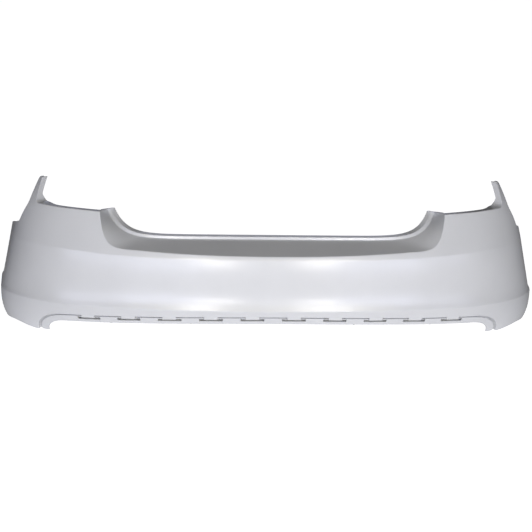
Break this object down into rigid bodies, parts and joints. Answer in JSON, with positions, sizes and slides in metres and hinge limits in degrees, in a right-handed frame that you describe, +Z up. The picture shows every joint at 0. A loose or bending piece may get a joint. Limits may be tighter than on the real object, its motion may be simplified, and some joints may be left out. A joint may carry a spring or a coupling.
{
  "type": "rear bumper cover",
  "caption": "Wraparound rear bumper cover for a saloon car: primed skin with boot-lid recess, lamp fingers and side wings, slotted lower rail and its supports.",
  "frame": {"origin": "middle of the centre support's mounting face, in the plane of symmetry, on the line of its four bolt holes", "axes": "+X to the car's right, +Y forwards into the car along the bolts, +Z up"},
  "size_m": [1.735, 0.5525, 0.472],
  "materials": {
    "primer": "satin light grey primer",
    "black_plastic": "moulded, matt black",
    "steel": "zinc plated"
  },
  "bodies": {
    "cover": {"cover_skin": "primer", "lower_rail": "primer", "centre_support": "black_plastic", "sill_clips": "steel", "rail_clips": "black_plastic", "side_guide_left": "black_plastic", "side_guide_right": "black_plastic", "guide_clips_left": "steel", "guide_clips_right": "steel", "lamp_support_left": "black_plastic", "lamp_support_right": "black_plastic", "lamp_clips_left": "steel", "lamp_clips_right": "steel", "arch_bracket_left": "black_plastic", "arch_bracket_right": "black_plastic", "arch_screws_left": "steel", "arch_screws_right": "steel", "arch_nuts_left": "steel", "arch_nuts_right": "steel", "rivet_bodies": "black_plastic"},
    "rivet_pin_1": {"rivet_pin_1": "black_plastic"},
    "rivet_pin_2": {"rivet_pin_2": "black_plastic"},
    "rivet_pin_3": {"rivet_pin_3": "black_plastic"},
    "rivet_pin_4": {"rivet_pin_4": "black_plastic"}
  },
  "joints": [
    {"name": "rivet_pin_1_slide", "type": "slide", "parent": "cover", "child": "rivet_pin_1", "axis": [0, 0, -1], "range_m": [0, 0.008]},
    {"name": "rivet_pin_2_slide", "type": "slide", "parent": "cover", "child": "rivet_pin_2", "axis": [0, 0, -1], "range_m": [0, 0.008]},
    {"name": "rivet_pin_3_slide", "type": "slide", "parent": "cover", "child": "rivet_pin_3", "axis": [0, 0, -1], "range_m": [0, 0.008]},
    {"name": "rivet_pin_4_slide", "type": "slide", "parent": "cover", "child": "rivet_pin_4", "axis": [0, 0, -1], "range_m": [0, 0.008]}
  ]
}
